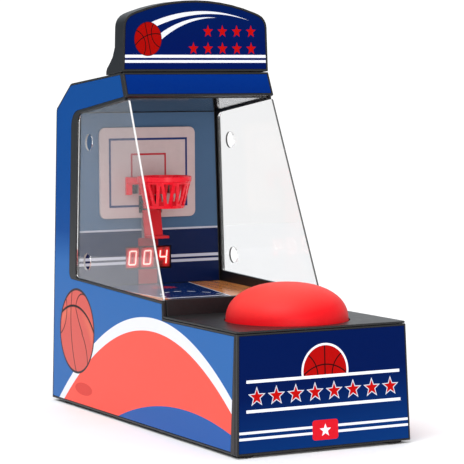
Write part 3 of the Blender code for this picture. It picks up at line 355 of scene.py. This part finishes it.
def side_print():
    """Blue with a coral hill, a white rim round it, a lower blue hill and a ball."""
    look = film("side_print", "#08478e", 0.24, 0.06)
    _, y, z = look.case_widths()
    # Painted reflection: the blue is paler over the lower half, as a haze.
    look.paint(z.ramp(0.98, 0.80), "#2a65a9")
    look.print_in(arch(y, z, 0.9744, 0.5861, 0.3848), WHITE_INK)
    look.print_in(arch(y, z, 0.9764, 0.5152, 0.3811), CORAL_INK)
    shadow = length((y - 1.852) / 0.118, (z - 0.101) / 0.035) - 1.0
    look.paint(inside(shadow, 0.06) * 0.85, "#cf3c34")
    look.print_in(disc(y, z, (0.5802, -2.2409), 2.3926), "#275aa4")
    centre, radius = (1.957, 0.421), 0.24
    ball = disc(y, z, centre, radius)
    look.print_in(ball, "#d25c54")
    u = (centre[0] - y) / radius
    v = (z - centre[1]) / radius
    # A warm glow on both sides under the wide seam, which is an arc round belt.
    belt = (-0.15, -0.87)
    glow = inside(outline(disc(u, v, belt, 1.33), 0.16), 0.25) * inside(ball + 0.02, 0.01)
    both_sides = u.ramp(-0.1, -0.8).high(u.ramp(0.2, 0.8))
    look.paint(glow * both_sides * 0.45, "#f08a62")
    where = inside(ball)
    # Thin seams change their curve at fork and at the middle of the ball.
    fork, fade, thin = 0.54, 0.04, 0.030
    upper = v.ramp(fork - fade, fork)
    lower = v.ramp(fork, fork - fade)
    seams(look, u, v, thin, [((-1.30, 0.45), 0.69), ((2.31, 0.38), 2.68)], where)
    seams(look, u, v, thin, [((0.29, 0.52), 0.375)], where * upper * inside(u - 0.40, 0.02))
    seams(look, u, v, thin, [((2.10, 1.70), 2.48)], where * lower * v.ramp(-0.06, 0.0))
    seams(look, u, v, thin, [((-0.44, -0.85), 1.09)], where * v.ramp(0.0, -0.06))
    seams(look, u, v, 0.055, [(belt, 1.45)], where)
    look.print_in(outline(ball + 0.004, 0.013), "#3a2c30")
    return look


def front_print():
    """Navy with a half ball over two rules, a row of stars, a plain tag and two stripes."""
    look = film("front_print", "#00144a", 0.30, 0.03)
    x, _, z = look.case_widths()
    # Painted reflection: the navy is paler towards the bottom and the left.
    look.paint((z - x * 0.12).ramp(0.34, -0.06), "#063270")
    stripe_reach = 0.4885
    for low, high in ((0.1038, 0.1163), (0.0738, 0.0863)):
        look.print_in(block(x, z, -stripe_reach, low, stripe_reach, high), WHITE_INK)
    centre, radius = (0.005, 0.3875), 0.138
    upper_rule, lower_rule = 0.3605, 0.2143
    ball = disc(x, z, centre, radius)
    above = upper_rule - z
    look.print_in(ball.high(above), WHITE_INK)
    where = inside((ball + 0.011).high(above + 0.002))
    look.paint(where, RED_INK)
    u = (x - centre[0]) / radius
    v = (z - centre[1]) / radius
    arcs = [((0.0, -1.12), 1.348), ((-1.23, -0.163), 0.92), ((1.20, -0.163), 0.90)]
    seams(look, u, v, 0.045, arcs, where)
    look.paint(inside(abs(u) - 0.024, 0.02) * where, SEAM_INK)
    reach, half = 0.449, 0.0075
    for height in (upper_rule, lower_rule):
        look.print_in(block(x, z, -reach, height - half, reach, height + half), WHITE_INK)
    row = star_row(x, z, (0.0, 0.2835), 8, 0.1115, 0.052)
    look.print_in(row, "#c9ccd8")
    look.print_in(row + 0.0042, STAR_INK)
    tag = block(x, z, -0.0745, 0.043, 0.0745, 0.143, 0.016)
    look.print_in(tag, "#cf1a28")
    look.print_in(star(x, z - 0.090, 0.034), WHITE_INK)
    return look


def sign_print():
    """Navy with a flying ball and its trails, two rows of stars and two stripes."""
    look = film("sign_print", "#001352", 0.30, 0.03)
    x, _, z = look.case_widths()
    look.paint(z.ramp(2.02, 2.30), "#001950")
    for low, high in ((1.9591, 1.9753), (1.932, 1.9466)):
        look.print_in(band(z, low, high), WHITE_INK)
    # Each trail of the flying ball: circle, start and end across, half its width at the start.
    trails = [
        ((0.0773, 1.1497), 1.0577, -0.2845, 0.3731, 0.0165),
        ((0.1113, 1.5278), 0.6525, -0.2295, 0.1389, 0.0155),
    ]
    for centre, radius, start, end, half in trails:
        taper = x.ramp(end, start) * half
        arc = abs(disc(x, z, centre, radius)) - taper
        above = centre[1] - z
        look.print_in(arc.high(band(x, start - 0.03, end)).high(above), "#dfe1ea")
    pitch, size = 0.101, 0.045
    for middle, count in (((0.232, 2.104), 4), ((0.181, 2.0095), 5)):
        row = star_row(x, z, middle, count, pitch, size)
        look.print_in(row, "#0a0f50")
        look.print_in(row + 0.003, STAR_INK)
    centre, radius = (-0.332, 2.061), 0.0925
    ball = disc(x, z, centre, radius)
    look.print_in(ball, "#9c0704")
    u, v = turn((x - centre[0]) / radius, (z - centre[1]) / radius, 14)
    where = inside(ball)
    arcs = [((0.15, -1.75), 1.97), ((-1.22, -0.15), 0.98), ((1.22, 0.10), 0.92)]
    seams(look, u, v, 0.055, arcs, where)
    look.paint(inside(abs(u) - 0.028, 0.03) * where, SEAM_INK)
    look.paint(inside(outline(ball + 0.001, 0.004)) * 0.6, "#20060c")
    return look


def fascia_print():
    """Plain blue, a little brighter towards the top."""
    look = film("fascia_print", "#002670", 0.28, 0.03)
    x, _, z = look.case_widths()
    look.paint((z + x * 0.03).ramp(1.80, 1.89) * 0.7, "#002c7c")
    return look


def wall_print():
    """Grey blue over navy, with one line between and two stripes at the display's height."""
    look = film("wall_film", "#486484", 0.30, 0.12)
    x, _, z = look.millimetres()
    look.print_in(z - 111.2, "#081a47", SOFT_MM)
    look.print_in(band(z, 110.8, 112.0), "#b9bccb")
    for low, high in ((92.5, 94.4), (89.3, 91.1)):
        look.print_in(band(z, low, high), "#c3c6d6", SOFT_MM)
    # A painted reflection of the red score lever, as a grey pink patch behind it, and the red
    # plinth round the display, which is print.
    look.print_in(block(x, z, -5.4, 104.0, 3.4, 121.0), "#9c8f96", SOFT_MM)
    look.print_in(block(x, z, -7.9, 70.0, 5.6, 106.0, 1.0), "#a01c26", SOFT_MM)
    return look


def backboard_print():
    """Pale plastic with a blue frame line and a red square on its front face only."""
    look = Look("backboard_plastic", "#c6b2b2", 0.42, specular=0.2)
    look.mottle(260, 0.025)
    x, _, z = look.millimetres()
    front = (look.y + DEPTH / 2).ramp(0.2228, 0.2226)
    frame_line = outline(block(x, z, -28.3, 126.9, 25.4, 170.0), 1.4)
    look.paint(inside(frame_line, SOFT_MM) * front, "#152a66")
    square = outline(block(x, z, -13.0, 144.0, 10.2, 160.2), 1.2)
    look.paint(inside(square, SOFT_MM) * front, "#b3202e")
    look.bump(look.noise(2600, 2.0), 0.00001)
    look.rough(look.noise(220, 3.0), 0.06)
    return look


def wood(look, x):
    """Planks that run along the court, each with its own tone and grain."""
    across = x * 24
    tone = (across.math("FLOOR") * 12.9898).math("SINE") * 43.7
    look.paint(tone.math("FRACT") * 0.45, "#8a4f2a")
    grain = look.noise(260, 5.0, (1.0, 0.07, 1.0))
    look.paint(grain.ramp(0.45, 0.75) * 0.5, "#7c4423")
    gap = abs(across.math("FRACT") - 0.5)
    look.paint(gap.ramp(0.485, 0.499) * 0.5, "#5f3118")


def floor_print():
    """A wooden court with a blue key, its lines and a red spot under the hoop."""
    look = film("court_print", "#ec9a58", 0.14, 0.3)
    x, y, _ = look.case_widths()
    wood(look, x)
    # The court is drawn a little to one side, and its key widens towards the wall.
    x = x + 0.035
    half = (y - 1.34) * 0.142 + 0.19
    key = (abs(x) - half).high(1.29 - y)
    look.print_in(key - 0.010, WHITE_INK)
    look.print_in(key, "#08265a")
    court = inside(key)
    look.paint(inside(band(y, 1.322, 1.346)) * court, WHITE_INK)
    # The dashed half circle, in its own radii.
    u, v = x / 0.18, (y - 1.335) / 0.27
    dashes = inside(abs((v.math("ARCTAN2", u) * 2.3).math("FRACT") - 0.5) - 0.27, 0.05)
    curve = abs(length(u, v) - 1.0) - 0.035
    look.paint(inside(curve, 0.02) * dashes * court * y.ramp(1.345, 1.35), WHITE_INK)
    spot = disc(x, y, (0.025, 1.80), 0.073)
    look.paint(inside(spot.high(1.80 - y - 0.03)) * court, "#c02a34")
    arc = outline(disc(x, y, (0.0, 2.02), 0.98), 0.014)
    look.paint(inside(arc) * inside(y - 1.28), WHITE_INK)
    return look


# ---------------------------------------------------------------- plastics and metals


def black_plastic(name, roughness, edge, specular=0.35):
    """Black moulding with a fine grain and rounded edges, lighter grey in patches: part wear,
    part painted highlight.
    """
    look = Look(name, (0.0095, 0.0095, 0.0105), roughness, specular=specular)
    near_edge = look.rounded(edge)
    look.mottle(700, 0.20)
    # Wear and a painted highlight: grey patches along the edges.
    wear_and_highlight = look.noise(420, 5.0).ramp(0.35, 0.65)
    look.paint(near_edge * wear_and_highlight * 0.4, "#2c2c2e")
    look.bump(look.noise(4200, 2.0), 0.000012, 0.6)
    look.rough(look.noise(240, 4.0), 0.06)
    return look


def moulded(name, colour, roughness, specular=0.5):
    """Plain moulded plastic with flow marks and a fine eggshell face."""
    look = Look(name, colour, roughness, specular=specular)
    look.mottle(180, 0.05)
    look.bump(look.noise(3200, 2.0), 0.000008, 0.7)
    look.bump(look.noise(55, 2.0), 0.00004, 0.4)
    look.rough(look.noise(300, 4.0), 0.05)
    return look


def dome_look():
    """Soft-touch red with a painted highlight, so that it is paler towards the top and the left.
    """
    look = Look("soft_touch_red", "#dc0412", 0.50, specular=0.2)
    look.mottle(240, 0.03)
    # Painted highlight: paler red towards the top and the left.
    look.paint((look.z - look.x * 0.16).ramp(0.077, 0.094) * 0.7, "#f4564a")
    look.set("Sheen Weight", 0.04)
    look.set("Sheen Roughness", 0.4)
    look.set("Sheen Tint", (1.0, 0.45, 0.40, 1.0))
    look.set("Subsurface Weight", 0.12)
    look.set("Subsurface Scale", 0.002)
    look.bump(look.noise(3800, 2.0), 0.00001, 0.5)
    look.rough(look.noise(200, 4.0), 0.05)
    return look


def metal(name, colour, roughness, stretch):
    """Metal with fine drawing marks, stretched along an axis."""
    look = Look(name, colour, roughness, metallic=1.0)
    look.mottle(600, 0.08, stretch)
    look.bump(look.noise(1800, 3.0, stretch), 0.000006, 0.6)
    look.rough(look.noise(500, 3.0, stretch), 0.08)
    return look


def rubber():
    """Matt black rubber with a rough face."""
    look = Look("foot_rubber_look", (0.022, 0.022, 0.022), 0.8, specular=0.25)
    look.mottle(900, 0.25)
    look.bump(look.noise(2600, 4.0), 0.00004, 0.8)
    return look


def circuit_board():
    """Green board with lanes and tinned pads on its face, and black parts above it."""
    look = Look("solder_mask", "#0f5a2c", 0.35)
    look.mottle(300, 0.08)
    x, y, z = look.millimetres()
    board_top = 13.65
    lanes = abs((x * 0.45).math("FRACT") - 0.5) - 0.12
    rows = look.noise(90, 1.0).ramp(0.49, 0.51)
    flat = inside(z - board_top, 0.05)
    look.paint(inside(lanes, 0.1) * rows * flat, "#1d7a3e")
    pads = length((x * 0.3).math("FRACT") - 0.5, (y * 0.3).math("FRACT") - 0.5) - 0.16
    look.paint(inside(pads, 0.05) * flat, "#b7b9b2")
    look.print_in(board_top + 0.1 - z, "#141416", 0.05)
    return look


def cell_wrap():
    """A battery's sleeve with a yellow band at each end, and its bare metal ends."""
    look = Look("cell_sleeve", "#1f6f86", 0.28)
    look.mottle(300, 0.05)
    x, _, _ = look.millimetres()
    from_middle = abs(x)
    look.print_in(band(from_middle, 9.0, 13.5), "#d7c24a", 0.2)
    look.print_in(20.6 - from_middle, "#b9bab6", 0.2)
    look.bump(look.noise(800, 2.0), 0.00001)
    return look


def ball_look():
    """Orange foam with a ball's seams, sunk a little."""
    look = Look("ball_foam", "#e2702a", 0.65, specular=0.3)
    look.mottle(300, 0.08)
    low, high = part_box("ball")
    middle, radius = (low + high) / 2, (high.x - low.x) / 2
    places = zip((look.x, look.y, look.z), middle)
    u, v, w = ((place - centre) / radius for place, centre in places)
    line = abs(u).low(abs(w))
    for side in (-1, 1):
        line = line.low(abs(length(v - side * 1.35, w) - 0.95))
    look.print_in(line - 0.03, "#1c1210", 0.02)
    look.bump(line.ramp(0.02, 0.07), 0.0002)
    look.bump(look.noise(2600, 2.0), 0.00005)
    return look


# Each bar of a digit: its middle in half widths and half heights, and whether it lies flat.
SEGMENTS = {
    "a": (0, 1, True),
    "g": (0, 0, True),
    "d": (0, -1, True),
    "f": (-1, 0.5, False),
    "b": (1, 0.5, False),
    "e": (-1, -0.5, False),
    "c": (1, -0.5, False),
}
LIT = {"0": "abcdef", "4": "bcfg"}


def digit_look(name, node, figure):
    """A tinted seven-segment module, its lit bars glowing through the lens."""
    look = Look(name, (0.10, 0.004, 0.005), 0.22, specular=0.4)
    look.mottle(500, 0.1)
    low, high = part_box(node)
    middle = (low + high) / 2
    z = (look.z - middle.z) * 1000
    x = (look.x - middle.x) * 1000 - z * 0.10
    front = look.y.ramp(low.y + 0.0002, low.y + 0.0001)
    # From here on in millimetres: the figure's size, and half a bar's thickness.
    half_wide, half_high, thick = 2.35, 4.35, 0.50
    flat_reach, upright_reach = half_wide - 0.55, half_high / 2 - 0.45
    lit = None
    for bar, (side, level, flat) in SEGMENTS.items():
        dx = abs(x - side * half_wide) - (flat_reach if flat else 0.0)
        dz = abs(z - level * half_high) - (0.0 if flat else upright_reach)
        distance = length(dx.high(0.0), dz.high(0.0)) - thick
        if bar in LIT[figure]:
            lit = distance if lit is None else lit.low(distance)
        else:
            look.paint(inside(distance, 0.1) * front * 0.6, (0.20, 0.012, 0.012))
    bars = inside(lit, 0.08) * front
    # The glow round the lit bars fades out over 3.4 mm.
    near = lit.ramp(3.4, 0.0)
    halo = near * near * front
    glow = mixed(look.tree, halo, (0.05, 0.0, 0.0), (0.80, 0.0, 0.002))
    glow = mixed(look.tree, bars, glow, (1.0, 0.82, 0.74))
    look.link(glow, look.shader.inputs["Emission Color"])
    look.set("Emission Strength", 1.1)
    look.rough(look.noise(300, 2.0), 0.04)
    return look


# The windows lean inwards. Their two holes' band is in metres behind the front, and
# SHEET_PASS is how much light each face lets straight through.
SHEET_LEAN = math.radians(1.55)
SHEET_HOLES = (0.2010, 0.2140)
SHEET_PASS = 0.935


def acrylic(side, name, brightness, clarity, hidden_rim):
    """Clear sheet with polished faces and sawn edges. Light passes it to the inside.

    side is -1 or 1 for left or right. brightness is the grey of the sawn edges, which is painted
    light and shade, for both sheets are the same acrylic. clarity is the share of each face
    that doesn't reflect or bend, and hidden_rim how much of the holes' edges doesn't show.
    """
    look = Look(name, (0.985, 0.985, 0.985), 0.02)
    look.mottle(200, 0.004)
    look.set("Transmission Weight", 1.0)
    look.set("IOR", 1.49)
    look.rough(look.noise(120, 4.0), 0.015)
    geometry = look.node("NewGeometry")
    dot = look.node("VectorMath")
    dot.operation = "DOT_PRODUCT"
    dot.inputs[1].default_value = (side * math.cos(SHEET_LEAN), 0.0, math.sin(SHEET_LEAN))
    look.link(geometry.outputs["True Normal"], dot.inputs[0])
    flat = abs(Field(look.tree, dot.outputs["Value"]))
    outside = 1 - Field(look.tree, geometry.outputs["Backfacing"])
    holes = inside(band(look.y + DEPTH / 2, *SHEET_HOLES))
    rim = flat.ramp(0.75, 0.65) * (1 - holes * hidden_rim) * outside
    edge = look.node("BsdfPrincipled")
    edge.inputs["Base Color"].default_value = (brightness, brightness, brightness, 1.0)
    edge.inputs["Roughness"].default_value = 0.5
    clear = look.node("BsdfTransparent")
    clear.inputs[0].default_value = (SHEET_PASS, SHEET_PASS, SHEET_PASS, 1.0)
    path = look.node("LightPath")
    shadow = Field(look.tree, path.outputs["Is Shadow Ray"])
    diffuse = Field(look.tree, path.outputs["Is Diffuse Ray"])
    let_through = shadow.high(diffuse).high(clarity) * flat.ramp(0.65, 0.75)
    body = mixed_shader(look.tree, rim.socket, look.shader.outputs[0], edge.outputs[0])
    final = mixed_shader(look.tree, let_through.socket, body, clear.outputs[0])
    look.link(final, look.tree.nodes["Material Output"].inputs["Surface"])
    return look


def smooth(solid):
    """Shared points, smooth faces and sharp edges, so that curved CAD faces don't show facets."""
    stored = solid.data.attributes.get("custom_normal")
    if stored:
        solid.data.attributes.remove(stored)
    solid.data.shade_smooth()
    weld = solid.modifiers.new("weld", "WELD")
    weld.merge_threshold = 0.000002
    split = solid.modifiers.new("split", "EDGE_SPLIT")
    split.split_angle = math.radians(32)
    split.use_edge_sharp = False
    weigh = solid.modifiers.new("weigh", "WEIGHTED_NORMAL")
    weigh.mode = "FACE_AREA"
    weigh.weight = 50


def dress():
    """Gives every CAD node its look."""
    wear(side_print(), "left_side_label", "right_side_label")
    wear(front_print(), "front_label")
    wear(sign_print(), "sign_label")
    wear(fascia_print(), "fascia_label")
    wear(wall_print(), "back_wall_label")
    wear(backboard_print(), "backboard")
    wear(floor_print(), "floor_label")
    wear(
        black_plastic("case_black", 0.36, 0.0005),
        "left_side_wall",
        "right_side_wall",
        "front_panel",
        "top_deck",
        "base_plate",
        "roof_panel",
        "fascia_panel",
        "sign_shell",
        "front_lip",
        "floor_tray",
        "ball_well",
        "back_wall",
        "lever_stand",
        "rear_cover",
        "battery_door",
        "battery_tray",
    )
    wear(black_plastic("canopy_gloss", 0.07, 0.0003, 0.8), "ceiling_panel")
    wear(dome_look(), "dome_button")
    wear(moulded("hoop_red", "#f20e28", 0.28, 0.3), "hoop")
    wear(moulded("lever_red", "#cc0c1c", 0.30, 0.3), "score_lever")
    wear(
        moulded("inner_white", "#dcdcd6", 0.42),
        "launch_lever",
        "button_guide",
        "power_switch_knob",
    )
    wear(rubber(), "front_left_foot", "front_right_foot", "rear_left_foot", "rear_right_foot")
    wear(metal("wire_steel", (0.56, 0.57, 0.58), 0.26, (1, 1, 6)), "button_spring", "launch_axle")
    wear(
        metal("nickel_plate", (0.66, 0.63, 0.58), 0.24, (6, 1, 1)),
        *[f"rear_screw_{i}" for i in range(1, 5)],
        "left_battery_contact",
        "right_battery_contact",
        "power_switch_body",
    )
    wear(circuit_board(), "main_board")
    wear(moulded("chip_epoxy", "#17171a", 0.5), "display_board", "score_switch", "speaker")
    wear(ball_look(), "ball")
    wear(cell_wrap(), "battery_1", "battery_2", "battery_3")
    wear(moulded("lead_red", "#b01418", 0.45), "battery_lead_red")
    wear(moulded("lead_black", "#141416", 0.45), "battery_lead_black")
    for node, figure in (("hundreds_digit", "0"), ("tens_digit", "0"), ("ones_digit", "4")):
        wear(digit_look(f"led_{node}", node, figure), node)
    # Painted light on the sawn edges: a painted highlight makes the left sheet's pale grey, and
    # painted shade makes the right sheet's near black.
    wear(acrylic(-1, "left_sheet", 0.72, 0.0, 0.5), "left_window")
    wear(acrylic(1, "right_sheet", 0.08, 0.9, 0.0), "right_window")
    for solid in NODES.values():
        smooth(solid)


def placed(name, data):
    """A new object in the scene."""
    thing = bpy.data.objects.new(name, data)
    bpy.context.scene.collection.objects.link(thing)
    return thing


def return_spring():
    """The dome's spring, as a copy that stands in for the CAD spring."""
    solid = NODES["button_spring"]
    spring = placed("return_spring", solid.data.copy())
    spring.matrix_world = solid.matrix_world.copy()
    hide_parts("button_spring")
    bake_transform(spring)
    smooth(spring)


# ---------------------------------------------------------------- studio


def camera():
    """Lens and place fitted to the photograph's perspective."""
    yaw, pitch, roll = (math.radians(a) for a in (-27.81, 3.96, -0.33))
    back = Vector(
        (math.sin(yaw) * math.cos(pitch), -math.cos(yaw) * math.cos(pitch), math.sin(pitch))
    )
    right = (-back).cross(Vector((0, 0, 1))).normalized()
    up = right.cross(-back)
    rolled_right = math.cos(roll) * right + math.sin(roll) * up
    rolled_up = math.cos(roll) * up - math.sin(roll) * right
    data = bpy.data.cameras.new("camera")
    data.sensor_width = 36
    data.lens = 164.2
    data.clip_start = 0.01
    seen = placed("camera", data)
    pose = Matrix((rolled_right, rolled_up, back)).transposed().to_4x4()
    # The place is in case widths from the middle of the case's lower front edge.
    place = Vector((-5.283, -9.027, 1.806)) * WIDTH
    pose.translation = place + Vector((0, -DEPTH / 2, FOOT_HEIGHT))
    seen.matrix_world = pose
    bpy.context.scene.camera = seen


def floor():
    """A pale paper floor, which isn't part of the object."""
    mesh = bpy.data.meshes.new("studio_floor")
    side, front, back = 2.2, -2.2, 1.6
    corners = [(-side, front, 0), (side, front, 0), (side, back, 0), (-side, back, 0)]
    mesh.from_pydata(corners, [], [(0, 1, 2, 3)])
    look = Look("studio_paper", (0.90, 0.90, 0.905), 0.55, specular=0.2)
    look.mottle(30, 0.01)
    mesh.materials.append(look.done())
    placed("studio_floor", mesh)


def light(name, kind, direction):
    """A new light that shines along a direction. Its place and power are still to be set."""
    lamp = placed(name, bpy.data.lights.new(name, kind))
    lamp.rotation_euler = Vector(direction).to_track_quat("-Z", "Y").to_euler()
    return lamp


def lights():
    """A wide soft sun from the front left, and a small softbox that fills the front."""
    sun = light("soft_sun", "SUN", (0.50, 0.38, -1.0))
    sun.data.energy = 1.9
    sun.data.angle = math.radians(40)
    box_place, box_target = Vector((-0.3, -1.2, 0.3)), Vector((0, 0, 0.13))
    box = light("front_softbox", "AREA", box_target - box_place)
    box.location = box_place
    box.data.shape = "RECTANGLE"
    box.data.size, box.data.size_y = 0.5, 0.4
    box.data.energy = 3.0


def world():
    """White to the camera; to light and reflections, a studio that is darker at the back left."""
    studio = bpy.data.worlds.new("studio")
    studio.use_nodes = True
    tree = studio.node_tree
    bpy.context.scene.world = studio
    split = tree.nodes.new("ShaderNodeSeparateXYZ")
    ways = tree.nodes.new("ShaderNodeTexCoord")
    tree.links.new(ways.outputs["Generated"], split.inputs[0])
    x, y, z = (Field(tree, out) for out in split.outputs)
    dark_side = (y * 0.75 - x * 0.66).ramp(0.1, 0.8) * z.ramp(0.75, 0.25)
    right_side = (x * 0.9 - y * 0.4).ramp(0.1, 0.9)
    path = tree.nodes.new("ShaderNodeLightPath")
    through = Field(tree, path.outputs["Is Transmission Ray"])
    brightness = (1 - dark_side * 0.73 - right_side * 0.35) * 0.95
    lit = tree.nodes["Background"]
    tint = mixed(tree, dark_side * (1 - through), (1.0, 1.0, 1.0), (0.82, 1.0, 1.16))
    tree.links.new(tint, lit.inputs["Color"])
    tree.links.new(brightness.high(through * 1.03).socket, lit.inputs["Strength"])
    seen = tree.nodes.new("ShaderNodeBackground")
    seen.inputs["Color"].default_value = (1, 1, 1, 1)
    seen.inputs["Strength"].default_value = 1.12
    shown = mixed_shader(tree, path.outputs["Is Camera Ray"], lit.outputs[0], seen.outputs[0])
    tree.links.new(shown, tree.nodes["World Output"].inputs["Surface"])


dress()
return_spring()
camera()
floor()
world()
lights()
bpy.context.scene.view_settings.view_transform = "Standard"
bpy.context.scene.cycles.max_bounces = 10
